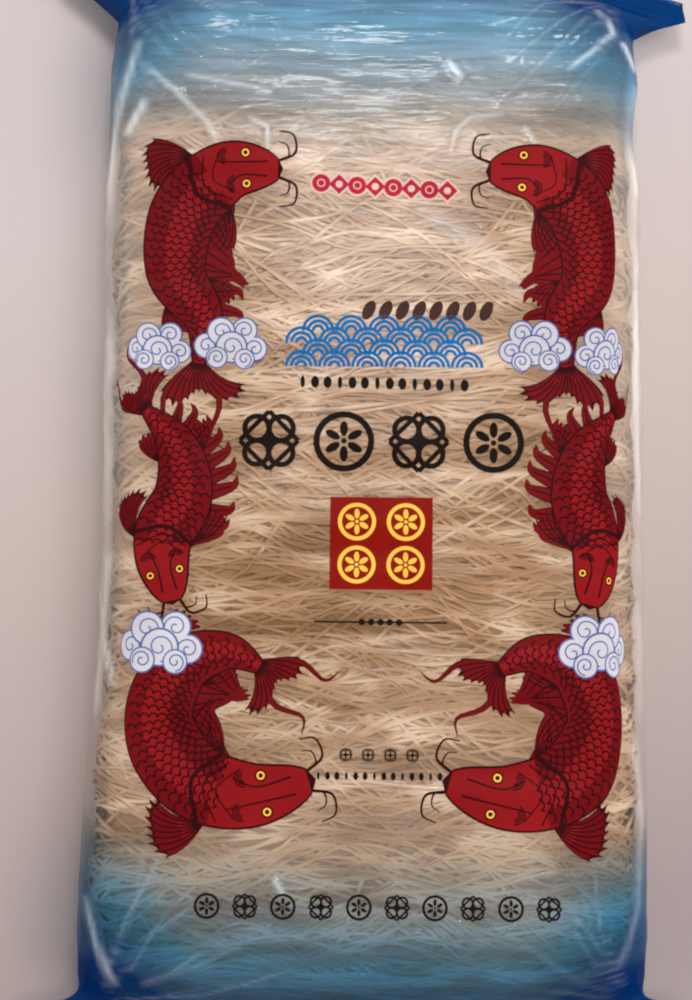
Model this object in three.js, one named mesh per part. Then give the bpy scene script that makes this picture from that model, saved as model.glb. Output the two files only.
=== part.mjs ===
// A pillow pack of glass noodles, lying on its back. Clear film is drawn round a flat block of
// folded noodles and crimped shut at both ends, where its spare width stands out as four ears.
// Millimetres: X across the pack, Y along it, Z up through the printed front.
// The origin is on the surface that the pack lies on, under the middle of the pack.

import * as THREE from 'three';

// Sizes of the whole pack
const PACK_LENGTH = 286;
const BODY_WIDTH = 137;
const BODY_HEIGHT = 35.5;
const SHOULDER_ROUND = 12;

// The crimped seals: the flattened film is wider than the body that it came from
const SEAL_WIDTH = 164;
const SEAL_DEPTH = 8;
const SEAL_THICKNESS = 0.8;
const SEAL_LIFT = 15;
const SEAL_DROOP = 3.5;
const SEAL_WAVE = 1.3;

// The sloping stretch between the flat body and a seal
const END_LENGTH = 25;
const END_ROUNDNESS = 2.2;
const CORNER_CUT = 7;
const BODY_SQUARENESS = 2.6;
const EAR_HOLLOWNESS = 0.75;

// The ears: the length over which the side spreads, how late it does so, and how far the tip is pulled back
const EARS = {
  farLeft: { spread: 15, lateness: 1.1, sweep: 2 },
  farRight: { spread: 14, lateness: 1.1, sweep: 14.5 },
  nearLeft: { spread: 8, lateness: 3, sweep: 4 },
  nearRight: { spread: 6, lateness: 3, sweep: 7 },
};
const SWEEP_START = 103;

// The sides aren't straight. Each leans in by its taper at the far end and out at the near end, and dips
// where the film is drawn in: along the middle, next to the far ears and beside a loose fold
const LEFT_SIDE = {
  taper: 1.7,
  dips: [{ depth: 2.2, centre: -20, reach: 100 }, { depth: 1.2, centre: 117, reach: 14 }],
};
const RIGHT_SIDE = {
  taper: 0.5,
  dips: [{ depth: 1.3, centre: 88, reach: 17 }, { depth: 1.2, centre: 113, reach: 14 }],
};

// Skeins of noodles show through the film as low uneven ridges across the pack
const SKEIN_LENGTH = 32;
const SKEIN_PITCH = 6.5;
const SKEIN_HEIGHT = 0.7;
const SETTLE_HEIGHT = 0.7;

// Fineness of the mesh
const BODY_STEPS = 64;
const END_STEPS = 10;
const SEAL_STEPS = 3;
const FLAT_STEPS = 14;
const ROUND_STEPS = 5;

const HALF_LENGTH = PACK_LENGTH / 2;
const HALF_WIDTH = BODY_WIDTH / 2;
const HALF_SEAL = SEAL_WIDTH / 2;
const SEAL_START = HALF_LENGTH - SEAL_DEPTH;
const END_START = SEAL_START - END_LENGTH;

const { clamp, lerp, smoothstep } = THREE.MathUtils;

function earAt(side, y) {
  if (y > 0) return side > 0 ? EARS.farRight : EARS.farLeft;
  return side > 0 ? EARS.nearRight : EARS.nearLeft;
}

// A smooth dip, deepest at its centre and fading out over the reach on both sides.
function dip(y, { depth, centre, reach }) {
  const t = clamp(Math.abs(y - centre) / reach, 0, 1);
  return depth * Math.cos((t * Math.PI) / 2) ** 2;
}

// How far a side is drawn in.
function dent(side, y) {
  const { taper, dips } = side > 0 ? RIGHT_SIDE : LEFT_SIDE;
  return dips.reduce((sum, shape) => sum + dip(y, shape), taper * clamp(y / END_START, -1, 1));
}

// A value from -1 to 1 that looks random but is always the same at one corner of a grid.
function cornerValue(i, j) {
  const n = Math.sin(i * 127.1 + j * 311.7) * 43758.5453;
  return 2 * (n - Math.floor(n)) - 1;
}

// Smooth uneven ground over a grid of unit cells.
function unevenness(x, y) {
  const [i, j] = [Math.floor(x), Math.floor(y)];
  const [u, v] = [smoothstep(x - i, 0, 1), smoothstep(y - j, 0, 1)];
  const low = lerp(cornerValue(i, j), cornerValue(i + 1, j), u);
  const high = lerp(cornerValue(i, j + 1), cornerValue(i + 1, j + 1), u);
  return lerp(low, high, v);
}

// How full the film is: 1 round the block, 0 at the seals.
function fullness(y) {
  const t = clamp((Math.abs(y) - END_START) / END_LENGTH, 0, 1);
  return 1 - t ** END_ROUNDNESS;
}

// Distance from the middle to the side, at this place along the pack.
function halfWidth(side, y) {
  const ear = earAt(side, y);
  const t = clamp((Math.abs(y) - SEAL_START) / ear.spread + 1, 0, 1);
  return lerp(HALF_WIDTH - dent(side, y), HALF_SEAL, t ** ear.lateness);
}

// Distance from the middle to where the flat front starts to round over.
function shoulder(side, y) {
  const t = clamp((Math.abs(y) - END_START) / END_LENGTH, 0, 1);
  return HALF_WIDTH - dent(side, y) - SHOULDER_ROUND - CORNER_CUT * t;
}

// Height of the plane halfway up the film. The seals leave it and hang down a little.
function midHeight(y) {
  const slope = smoothstep(Math.abs(y), END_START, SEAL_START);
  const hang = smoothstep(Math.abs(y), SEAL_START, HALF_LENGTH);
  return lerp(BODY_HEIGHT / 2, SEAL_LIFT, slope) - SEAL_DROOP * hang;
}

// Low ridges and hollows of the noodles under the front.
function relief(x, y) {
  const ridge = unevenness(x / SKEIN_LENGTH, y / SKEIN_PITCH);
  const settle = Math.sin(x / 37 + 1) * Math.sin(y / 49 + 2);
  return SKEIN_HEIGHT * ridge + SETTLE_HEIGHT * settle;
}

// A seal's gentle wave, which is nothing where the film is full.
function sealWave(x, y) {
  return SEAL_WAVE * (1 - fullness(y)) * Math.sin(x / 15 + (y > 0 ? 0.4 : 2.1));
}

// The ears' pull back towards the middle of the pack.
function sweptLength(x, y) {
  const pull = smoothstep(Math.abs(y), SWEEP_START, HALF_LENGTH);
  return y - Math.sign(y) * earAt(x, y).sweep * pull * (x / HALF_SEAL) ** 2;
}

// One sheet of the film at y, front or back, from the right ear across to the left one.
function sheet(y, isFront) {
  const full = fullness(y);
  const mid = midHeight(y);
  const film = SEAL_THICKNESS / 2;
  const rise = lerp(film, isFront ? BODY_HEIGHT - mid : mid, full);
  const power = 2 / lerp(EAR_HOLLOWNESS, BODY_SQUARENESS, full);
  const points = [];

  function add(x, share) {
    const lumps = isFront ? relief(x, y) * full * share : 0;
    const height = lerp(film, rise, share) + lumps;
    const z = mid + (isFront ? height : -height) + sealWave(x, y);
    points.push(new THREE.Vector3(x, sweptLength(x, y), z));
  }

  function addRound(side, step) {
    const angle = ((step / ROUND_STEPS) * Math.PI) / 2;
    const inner = shoulder(side, y);
    const out = Math.sin(angle) ** power;
    const share = step === ROUND_STEPS ? 0 : Math.cos(angle) ** power;
    add(side * lerp(inner, halfWidth(side, y), out), share);
  }

  for (let i = ROUND_STEPS; i >= 0; i--) addRound(1, i);
  for (let i = 1; i < FLAT_STEPS; i++) {
    add(lerp(shoulder(1, y), -shoulder(-1, y), i / FLAT_STEPS), 1);
  }
  for (let i = 0; i <= ROUND_STEPS; i++) addRound(-1, i);
  return points;
}

// Places along the pack where the film is drawn, from the near seal's cut edge to the far one's.
function stations() {
  const half = [];
  for (let i = 0; i < SEAL_STEPS; i++) half.push(lerp(HALF_LENGTH, SEAL_START, i / SEAL_STEPS));
  for (let i = 0; i < END_STEPS; i++) half.push(lerp(SEAL_START, END_START, i / END_STEPS));
  const body = [];
  for (let i = 0; i <= BODY_STEPS; i++) body.push(lerp(-END_START, END_START, i / BODY_STEPS));
  return [...half.map((y) => -y), ...body, ...half.reverse()];
}

// The closed skin: the front and back sheets of each station form a ring, and rings join up.
function packGeometry() {
  const rings = stations().map((y) => [...sheet(y, true), ...sheet(y, false).reverse()]);
  const count = rings[0].length;
  const positions = rings.flat().flatMap((p) => [p.x, p.y, p.z]);
  const faces = [];

  for (let r = 0; r + 1 < rings.length; r++) {
    for (let i = 0; i < count; i++) {
      const j = (i + 1) % count;
      const [a, b] = [r * count + i, r * count + j];
      faces.push(a, a + count, b, b, a + count, b + count);
    }
  }

  const last = (rings.length - 1) * count;
  for (let i = 0; i + 1 < count / 2; i++) {
    const [top, bottom] = [i, count - 1 - i];
    faces.push(top, top + 1, bottom, bottom, top + 1, bottom - 1);
    faces.push(last + top, last + bottom, last + top + 1);
    faces.push(last + bottom, last + bottom - 1, last + top + 1);
  }

  const geometry = new THREE.BufferGeometry();
  geometry.setAttribute('position', new THREE.Float32BufferAttribute(positions, 3));
  geometry.setIndex(faces);
  geometry.computeVertexNormals();
  return geometry;
}

const film = new THREE.MeshStandardMaterial({ color: 0xd8c2a4, roughness: 0.25, metalness: 0 });
const pack = new THREE.Mesh(packGeometry(), film);
pack.name = 'noodle_pack';

const group = new THREE.Group();
group.add(pack);

export default group;
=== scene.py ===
"""A sealed pillow pack of glass noodles: clear film, printed blue and red, round a block of noodles.

Sizes are in millimetres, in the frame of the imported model, until a mesh is made in metres. The film has the
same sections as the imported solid.
"""

import math

import bpy
import numpy as np
from mathutils import Matrix, Vector


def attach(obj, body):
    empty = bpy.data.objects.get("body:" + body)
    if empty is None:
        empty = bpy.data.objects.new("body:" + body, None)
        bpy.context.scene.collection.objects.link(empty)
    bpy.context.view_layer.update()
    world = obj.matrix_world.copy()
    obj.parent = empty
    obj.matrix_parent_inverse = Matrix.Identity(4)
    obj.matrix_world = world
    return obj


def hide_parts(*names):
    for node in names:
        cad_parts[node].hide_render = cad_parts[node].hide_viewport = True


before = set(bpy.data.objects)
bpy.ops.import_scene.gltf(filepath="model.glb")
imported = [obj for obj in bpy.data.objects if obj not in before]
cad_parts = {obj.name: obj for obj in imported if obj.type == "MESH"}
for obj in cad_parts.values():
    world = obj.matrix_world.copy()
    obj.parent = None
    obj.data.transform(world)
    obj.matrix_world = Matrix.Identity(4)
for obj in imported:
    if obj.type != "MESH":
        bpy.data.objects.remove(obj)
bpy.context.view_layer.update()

scene = bpy.context.scene
MM = 0.001

# Sizes of the pack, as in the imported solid
PACK_LENGTH = 286.0
BODY_WIDTH = 137.0
BODY_HEIGHT = 35.5
SHOULDER_ROUND = 12.0
SEAL_WIDTH = 164.0
SEAL_DEPTH = 8.0
SEAL_LIFT = 15.0
SEAL_DROOP = 3.5
SEAL_WAVE = 1.3
END_LENGTH = 25.0
END_ROUNDNESS = 2.2
CORNER_CUT = 7.0
BODY_SQUARENESS = 2.6
EAR_HOLLOWNESS = 0.75
SWEEP_START = 103.0
SKEIN_LENGTH = 32.0
SKEIN_PITCH = 6.5
SKEIN_HEIGHT = 0.7
SETTLE_HEIGHT = 0.7
# The ears, near then far, and left then right in each pair: the length over which the side spreads, how
# late it does so, and how far the tip is pulled back
EAR_SPREAD = np.array([[8.0, 6.0], [15.0, 14.0]])
EAR_LATENESS = np.array([[3.0, 3.0], [1.1, 1.1]])
EAR_SWEEP = np.array([[4.0, 7.0], [2.0, 14.5]])
# Each side's taper from end to end, and its dips: depth, centre and reach along the pack
LEFT_TAPER = 1.7
LEFT_DIPS = ((2.2, -20.0, 100.0), (1.2, 117.0, 14.0))
RIGHT_TAPER = 0.5
RIGHT_DIPS = ((1.3, 88.0, 17.0), (1.2, 113.0, 14.0))

HALF_LENGTH = PACK_LENGTH / 2
HALF_WIDTH = BODY_WIDTH / 2
HALF_SEAL = SEAL_WIDTH / 2
SEAL_START = HALF_LENGTH - SEAL_DEPTH
END_START = SEAL_START - END_LENGTH

# The film itself. In the seals the front and back touch, but for this much
FILM_THICKNESS = 0.16
FILM_SLACK = 0.34
BACK_SLACK = 0.35
CRIMP_PITCH = 1.6
CRIMP_HEIGHT = 0.2
LAP_WIDTH = 11.0
# How much nearer to the middle the blue ink reaches at the corners, and where across and along the pack
FAR_CORNER_INK = 15.0
NEAR_CORNER_INK = 16.0
CORNER_ACROSS = (36, 64)
CORNER_ALONG = (78, 102)
# The same over all of the far end
FAR_INK = 5.0
FAR_ALONG = (60, 85)

# The noodles
STRAND_RADIUS = 0.54
STRAND_SIDES = 6
BLOCK_HALF_LENGTH = 129.0
SIDE_GAP = 1.5
# How far skeins stray from their even places, from straight across and, at their ends, from their course,
# and strands from the middle and the course of their skein
SKEIN_PLACE = 1.5
SKEIN_SLOPE = 12
SKEIN_ENDS = 11
STRAND_PLACE = 2.6
STRAND_SLOPE = 5.0
# Sizes of the waves, from long to short, in the courses of a skein and of each strand in it
SKEIN_WAVES = (4.2, 3.4, 2.4, 1.6, 1.0)
STRAND_WAVES = (1.5, 1.2, 0.9, 0.7, 0.5, 0.35, 0.25)

# The print lies on the film, one colour over another
PRINT_CENTRE = 3.0
PRINT_LIFT = 0.36
PRINT_STEP = 0.04
PRINT_CELL = 1.6
# Towards the sides the print follows the film down over the shoulders
WRAP_START = 55.0
WRAP_REACH = 9.0


# ---- the pack's form

def smoothstep(x, low, high):
    t = np.clip((x - low) / (high - low), 0, 1)
    return t * t * (3 - 2 * t)


def lerp(a, b, t):
    return a + (b - a) * t


def lattice_noise(x, y, seed):
    """Smooth noise from -1 to 1 on a seeded grid of unit cells."""
    def corner(i, j):
        n = np.sin(i * 127.1 + j * 311.7 + seed * 74.7) * 43758.5453
        return 2 * (n - np.floor(n)) - 1

    i, j = np.floor(x), np.floor(y)
    u, v = x - i, y - j
    u, v = u * u * (3 - 2 * u), v * v * (3 - 2 * v)
    low = lerp(corner(i, j), corner(i + 1, j), u)
    high = lerp(corner(i, j + 1), corner(i + 1, j + 1), u)
    return lerp(low, high, v)


def at_ear(values, x, y):
    """The value of the ear that each point is nearest to."""
    return values[np.greater(y, 0).astype(int), np.greater(x, 0).astype(int)]


def dent(y, taper, dips):
    drawn_in = taper * np.clip(y / END_START, -1, 1)
    for depth, centre, reach in dips:
        t = np.clip(np.abs(y - centre) / reach, 0, 1)
        drawn_in = drawn_in + depth * np.cos(t * math.pi / 2) ** 2
    return drawn_in


def side_dent(x, y):
    return np.where(x > 0, dent(y, RIGHT_TAPER, RIGHT_DIPS), dent(y, LEFT_TAPER, LEFT_DIPS))


def end_share(y):
    return np.clip((np.abs(y) - END_START) / END_LENGTH, 0, 1)


def fullness(y):
    return 1 - end_share(y) ** END_ROUNDNESS


def half_width(x, y):
    t = np.clip((np.abs(y) - SEAL_START) / at_ear(EAR_SPREAD, x, y) + 1, 0, 1)
    return lerp(HALF_WIDTH - side_dent(x, y), HALF_SEAL, t ** at_ear(EAR_LATENESS, x, y))


def shoulder(x, y):
    return HALF_WIDTH - side_dent(x, y) - SHOULDER_ROUND - CORNER_CUT * end_share(y)


def mid_height(y):
    slope = smoothstep(np.abs(y), END_START, SEAL_START)
    hang = smoothstep(np.abs(y), SEAL_START, HALF_LENGTH)
    return lerp(BODY_HEIGHT / 2, SEAL_LIFT, slope) - SEAL_DROOP * hang


def relief(x, y):
    ridge = lattice_noise(x / SKEIN_LENGTH, y / SKEIN_PITCH, 0)
    settle = np.sin(x / 37 + 1) * np.sin(y / 49 + 2)
    return SKEIN_HEIGHT * ridge + SETTLE_HEIGHT * settle


def seal_wave(x, y):
    return SEAL_WAVE * (1 - fullness(y)) * np.sin(x / 15 + np.where(y > 0, 0.4, 2.1))


def swept_length(x, y):
    pull = smoothstep(np.abs(y), SWEEP_START, HALF_LENGTH)
    return y - np.sign(y) * at_ear(EAR_SWEEP, x, y) * pull * (x / HALF_SEAL) ** 2


def section_power(y):
    return 2 / lerp(EAR_HOLLOWNESS, BODY_SQUARENESS, fullness(y))


def round_share(x, y):
    """How high the film stands at x: 1 over the flat, falling to 0 at the side."""
    power = section_power(y)
    inner = shoulder(x, y)
    out = np.clip((np.abs(x) - inner) / (half_width(x, y) - inner), 0, 1)
    return np.clip(1 - out ** (2 / power), 0, 1) ** (power / 2)


def front_height(x, y):
    """The film's front, without its ripples and creases."""
    share = round_share(x, y)
    mid = mid_height(y)
    rise = lerp(FILM_THICKNESS / 2, BODY_HEIGHT - mid, fullness(y))
    lumps = (relief(x, y) + FILM_SLACK) * fullness(y) * share
    return mid + lerp(FILM_THICKNESS / 2, rise, share) + lumps + seal_wave(x, y)


def distances(points):
    """How far along their course each of the points is."""
    return np.concatenate([[0], np.cumsum(np.linalg.norm(np.diff(points, axis=0), axis=1))])


# ---- meshes

def add_object(name, data):
    thing = bpy.data.objects.new(name, data)
    scene.collection.objects.link(thing)
    return thing


def new_mesh(name, points, faces, values=None, smooth=True):
    """A mesh object from points in millimetres and faces that all have the same number of corners.

    Each of values becomes an attribute, with a number or a vector for each point.
    """
    points = np.asarray(points, np.float32).reshape(-1, 3)
    faces = np.asarray(faces, np.int32)
    count, corners = faces.shape
    mesh = bpy.data.meshes.new(name)
    mesh.vertices.add(len(points))
    mesh.vertices.foreach_set("co", (points * MM).ravel())
    mesh.loops.add(count * corners)
    mesh.loops.foreach_set("vertex_index", faces.ravel())
    mesh.polygons.add(count)
    mesh.polygons.foreach_set("loop_start", np.arange(count, dtype=np.int32) * corners)
    for key, numbers in (values or {}).items():
        numbers = np.asarray(numbers, np.float32)
        is_vector = numbers.size == 3 * len(points)
        attribute = mesh.attributes.new(key, "FLOAT_VECTOR" if is_vector else "FLOAT", "POINT")
        attribute.data.foreach_set("vector" if is_vector else "value", numbers.ravel())
    mesh.update(calc_edges=True)
    mesh.validate()
    mesh.polygons.foreach_set("use_smooth", np.full(len(mesh.polygons), smooth))
    mesh.update()
    return add_object(name, mesh)


def give(piece, material):
    piece.data.materials.append(material)
    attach(piece, "root")
    return piece


def grid_faces(grid, start=0, closed=False):
    """Quads of a grid of points; closed joins the last column to the first."""
    rows, columns = grid.shape[:2]
    wide = columns if closed else columns - 1
    i = np.arange(rows - 1)[:, None]
    j = np.arange(wide)[None, :]
    k = (j + 1) % columns
    a = i * columns + j
    b = i * columns + k
    return np.stack([a, b, b + columns, a + columns], -1).reshape(-1, 4) + start


# ---- the film's creases

# Creases and folds of the front: points along it, half its width, its height, how white it is. The white is
# partly the fold's own whitening and partly painted highlight
FRONT_CREASES = (
    (((-58.2, 108), (-62, 95), (-65.4, 80)), 1.0, 0.8, 0.5),
    (((-60, 104), (-64, 92), (-66.5, 70), (-67.5, 45)), 1.0, 0.5, 0.4),
    (((-57.6, 102), (-49, 94.3), (-41, 86.6), (-38, 80)), 0.8, 0.35, 0.4),
    (((-56, 93), (-61.3, 83)), 1.0, 0.5, 0.6),
    (((-47, 98.7), (-36, 96.8), (-24.8, 95)), 0.7, 0.35, 0.4),
    (((-31, 88), (-26, 85.6), (-26, 80)), 0.6, 0.35, 0.45),
    (((56.4, 122), (59.9, 111.7), (54.3, 106), (48, 101)), 0.8, 0.45, 0.5),
    (((62.2, 110), (66.3, 103)), 0.9, 0.5, 0.75),
    (((66.5, 100), (66.8, 86), (66, 70)), 0.9, 0.4, 0.55),
    (((18.2, 103.7), (22.4, 98.5)), 0.8, 0.35, 0.6),
    (((19.3, 79.5), (20.5, 85.2), (24.2, 88.8), (33, 90)), 0.7, 0.3, 0.35),
    (((37.3, 87), (41, 81)), 0.6, 0.3, 0.35),
    (((10, 67), (27.5, 56), (38.5, 43.5)), 2.2, 0.15, 0.25),
    (((-67, -102), (-63.6, -114), (-59.7, -126)), 1.0, 0.6, 0.5),
    (((-66.5, -27), (-64, -42), (-61, -53)), 0.9, 0.4, 0.5),
    (((-63, -20), (-64.6, -38), (-66, -60)), 0.8, 0.4, 0.4),
    (((-66.8, 30), (-65.8, 6), (-66.6, -14)), 0.8, 0.35, 0.4),
    (((64, -62), (66.2, -84), (65, -104), (60, -120)), 1.0, 0.5, 0.3),
    (((66.4, 48), (65, 20), (66.5, -10)), 0.8, 0.35, 0.4),
    (((-22, -97), (-19, -102)), 0.8, 0.35, 0.6),
)
FAN_CREASES = 9


def fan_creases(rng):
    """Creases that spread from each corner, where a seal gathers the film, in over the front."""
    found = []
    for side in (-1, 1):
        for end in (-1, 1):
            root = np.array([side * (HALF_WIDTH - 4), end * (SEAL_START - 4)])
            for k in range(FAN_CREASES):
                turn = lerp(0.08, 1.35, (k + rng.uniform(0.2, 0.8)) / FAN_CREASES)
                way = np.array([-side * math.cos(turn), -end * math.sin(turn)])
                across = np.array([way[1], -way[0]])
                start = rng.uniform(3, 14)
                reach = rng.uniform(16, 46)
                bow = rng.uniform(-0.16, 0.16) * reach
                points = []
                for t in (0, 0.5, 1):
                    points.append(root + way * (start + reach * t) + across * bow * math.sin(math.pi * t))
                sizes = [rng.uniform(*span) for span in ((0.3, 0.6), (0.15, 0.45), (0.06, 0.22))]
                found.append((points, *sizes))
    return found


def crease_fields(x, y):
    """Height and whiteness of the creases at each point. The whiteness is partly the folds' own and partly
    painted highlight.
    """
    height, white = np.zeros_like(x), np.zeros_like(x)
    for points, half, rise, pale in list(FRONT_CREASES) + fan_creases(np.random.default_rng(5)):
        points = np.asarray(points, float)
        done = distances(points)
        nearest = np.full_like(x, 1e9)
        share = np.zeros_like(x)
        for k, length in enumerate(np.diff(done)):
            start = points[k]
            way = (points[k + 1] - start) / length
            t = np.clip((x - start[0]) * way[0] + (y - start[1]) * way[1], 0, length)
            away = np.hypot(x - start[0] - way[0] * t, y - start[1] - way[1] * t)
            closer = away < nearest
            nearest = np.where(closer, away, nearest)
            share = np.where(closer, (done[k] + t) / done[-1], share)
        ridge = np.exp(-(nearest / half) ** 2) * np.sqrt(np.clip(1 - (2 * share - 1) ** 4, 0, 1))
        height = np.maximum(height, rise * ridge)
        white = np.maximum(white, pale * ridge)
    return np.stack([height, white])


# ---- the film

# How finely it is drawn: steps along a seal, a sloping end and the body, and across it
SEAL_STEPS = 20
END_STEPS = 31
BODY_STEPS = 309
FRONT_STEPS = 148
BACK_STEPS = 30
ROUND_STEPS = 14


def film_stations():
    """Places along the pack where the film's sections are drawn."""
    seal = np.linspace(HALF_LENGTH, SEAL_START, SEAL_STEPS, endpoint=False)
    end = np.linspace(SEAL_START, END_START, END_STEPS, endpoint=False)
    body = np.linspace(-END_START, END_START, BODY_STEPS + 1)
    half = np.concatenate([seal, end])
    return np.concatenate([-half, body, half[::-1]])


def ripples(x, y):
    """The film's fine ripples over the noodles, and its gathers towards the seals."""
    small = 0.2 * lattice_noise(x / 17, y / 2.9, 1) + 0.08 * lattice_noise(x / 7, y / 2.1, 2)
    out = np.abs(y)
    gather = smoothstep(out, 104, SEAL_START) * (1 - 0.6 * smoothstep(out, SEAL_START - 6, SEAL_START))
    return small + 0.55 * gather * lattice_noise(x / 4.5, y / 26, 3)


def crimps(y):
    """The seals' pressed ribs."""
    inside = smoothstep(np.abs(y), SEAL_START, SEAL_START + 1)
    return CRIMP_HEIGHT * inside * np.sin(2 * math.pi * y / CRIMP_PITCH)


def film_grid(y, flat_steps):
    """For each station, x across the film and the share of its height, right side to left side."""
    y = y[:, None]
    angle = np.linspace(math.pi / 2, 0, ROUND_STEPS + 1)
    share = np.cos(angle).clip(0, 1) ** section_power(y)
    share[:, 0] = 0
    out = np.sin(angle) ** section_power(y)
    right, left = (side * lerp(shoulder(side, y), half_width(side, y), out) for side in (1, -1))
    flat = lerp(shoulder(1, y), -shoulder(-1, y), np.linspace(0, 1, flat_steps + 1)[1:-1])
    x = np.concatenate([right, flat, left[:, ::-1]], 1)
    share = np.concatenate([share, np.ones_like(flat), share[:, ::-1]], 1)
    return x, np.broadcast_to(y, x.shape), share


def film_sheet(y, flat_steps, is_front):
    """Points of the front or back, how white each is, and its length from the middle, one row a station."""
    x, yy, share = film_grid(y, flat_steps)
    full = fullness(yy)
    mid = mid_height(yy)
    thin = FILM_THICKNESS / 2
    rise = lerp(thin, BODY_HEIGHT - mid if is_front else mid - BACK_SLACK, full)
    height = lerp(thin, rise, share)
    white = np.zeros_like(x)
    if is_front:
        crease, white = crease_fields(x, yy) * smoothstep(share, 0.25, 0.6)
        slack = FILM_SLACK + ripples(x, yy) + crease
        height = height + (relief(x, yy) + slack) * full * share
    z = mid + (height if is_front else -height) + seal_wave(x, yy) + crimps(yy)
    loose = 0.5 * lattice_noise(yy / 9, z / 7, 4) + 0.3 * lattice_noise(yy / 4, z / 16, 5)
    x = x + np.sign(x) * loose * (1 - share) * full
    ink = np.where(yy > 0, FAR_CORNER_INK, NEAR_CORNER_INK) * smoothstep(np.abs(x), *CORNER_ACROSS)
    ink = ink * smoothstep(np.abs(yy), *CORNER_ALONG) + FAR_INK * smoothstep(yy, *FAR_ALONG)
    return np.stack([x, swept_length(x, yy), z], -1), white, (np.abs(yy) + ink) * MM


def make_film(material):
    y = film_stations()
    front, back = film_sheet(y, FRONT_STEPS, True), film_sheet(y, BACK_STEPS, False)
    ring, white, station = (np.concatenate([a, b[:, ::-1]], 1) for a, b in zip(front, back))
    faces = grid_faces(ring, closed=True)[:, ::-1]
    piece = new_mesh("film", ring, faces, {"crease": white, "station": station})
    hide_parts("noodle_pack")
    return give(piece, material)


def make_lap_seam(material):
    """The pack's lengthwise seam, pressed flat along the middle of its back."""
    y = np.linspace(-SEAL_START + 8, SEAL_START - 8, 300)[:, None]
    across = np.array([-1, -0.96, -0.5, 0, 0.5, 0.96, 1]) * LAP_WIDTH / 2
    x = across[None] + 0.5 * lattice_noise(y / 40, 0 * y, 6)
    low = mid_height(y) - lerp(FILM_THICKNESS / 2, mid_height(y), fullness(y)) + 0 * x
    rib = 0.06 * np.sin(2 * math.pi * y / CRIMP_PITCH) * (np.abs(across[None]) < 0.9 * LAP_WIDTH / 2)
    under = low + 0.08 + rib
    over = low + 0.2 + rib
    sheet = [np.stack(np.broadcast_arrays(x, y, z), -1) for z in (under, over)]
    ring = np.concatenate([sheet[0], sheet[1][:, ::-1]], 1)
    rows, columns = ring.shape[:2]
    last = (rows - 1) * columns
    k = np.arange(columns // 2 - 1)
    cap = np.stack([k, columns - 1 - k, columns - 2 - k, k + 1], -1)
    faces = np.concatenate([grid_faces(ring, closed=True), cap[:, ::-1], cap + last])[:, ::-1]
    station = np.broadcast_to(np.abs(y) * MM, (rows, columns))
    values = {"crease": np.full((rows, columns), 0.3), "station": station}
    give(new_mesh("lap_seam", ring, faces, values), material)


# ---- the noodles

def block_section(steps_flat, steps_round):
    """The block's cross-section at mid-length, from the middle of the back round by the right.

    It is x, height over the middle, and the outward direction.
    """
    half_height = BODY_HEIGHT / 2
    flat_half = HALF_WIDTH - SIDE_GAP - SHOULDER_ROUND
    power = 2 / BODY_SQUARENESS
    angle = np.linspace(0, math.pi, steps_round + 1)[1:-1]
    round_x = flat_half + SHOULDER_ROUND * np.sin(angle) ** power
    round_z = -half_height * np.sign(np.cos(angle)) * np.abs(np.cos(angle)) ** power
    low = np.linspace(0, flat_half, steps_flat + 1)
    x = np.concatenate([low, round_x, low[::-1]])
    z = np.concatenate([np.full_like(low, -half_height), round_z, np.full_like(low, half_height)])
    x = np.concatenate([x, -x[-2::-1]])
    z = np.concatenate([z, z[-2::-1]])
    dx, dz = np.gradient(x), np.gradient(z)
    size = np.hypot(dx, dz)
    return x, z, dz / size, -dx / size


SECTION = block_section(30, 60)
SECTION_LENGTH = distances(np.stack(SECTION[:2], -1))
GIRTH = SECTION_LENGTH[-1]


def on_block(p, y, depth):
    """Points and outward directions at p round the section, y along the block and depth below its skin."""
    x, z, nx, nz = (np.interp(p % GIRTH, SECTION_LENGTH, values) for values in SECTION)
    size = np.hypot(nx, nz)
    nx, nz = nx / size, nz / size
    full = fullness(y)
    corner = 1 - 0.1 * smoothstep(np.abs(y), 100, BLOCK_HALF_LENGTH)
    bulge = 1.1 * lattice_noise(y / 7, z / 9, 8) * np.abs(nx)
    x = (x + nx * (bulge - depth)) * corner - side_dent(x, y) * x / HALF_WIDTH
    z = mid_height(y) + (z - nz * depth) * full
    z = z + relief(x, y) * full * smoothstep(nz, 0.2, 1)
    return np.stack([x, swept_length(x, y), z], -1), np.stack([nx, np.zeros_like(nx), nz], -1)


def soft_end(y):
    """Keeps y inside the block's ends, without a hard stop."""
    knee = BLOCK_HALF_LENGTH - 8
    over = np.maximum(np.abs(y) - knee, 0)
    return np.sign(y) * (np.minimum(np.abs(y), knee) + 8 * (1 - np.exp(-over / 8)))


def waves(rng, t, sizes, count):
    """For each of count strands, a smooth random course over t in cycles: one sine for each size."""
    total = np.zeros((count, t.shape[-1]))
    for k, size in enumerate(sizes, 1):
        phase = rng.uniform(0, 2 * math.pi, (count, 1))
        total += size * rng.normal(0, 1, (count, 1)) * np.sin(2 * math.pi * k * t + phase)
    return total


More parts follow.
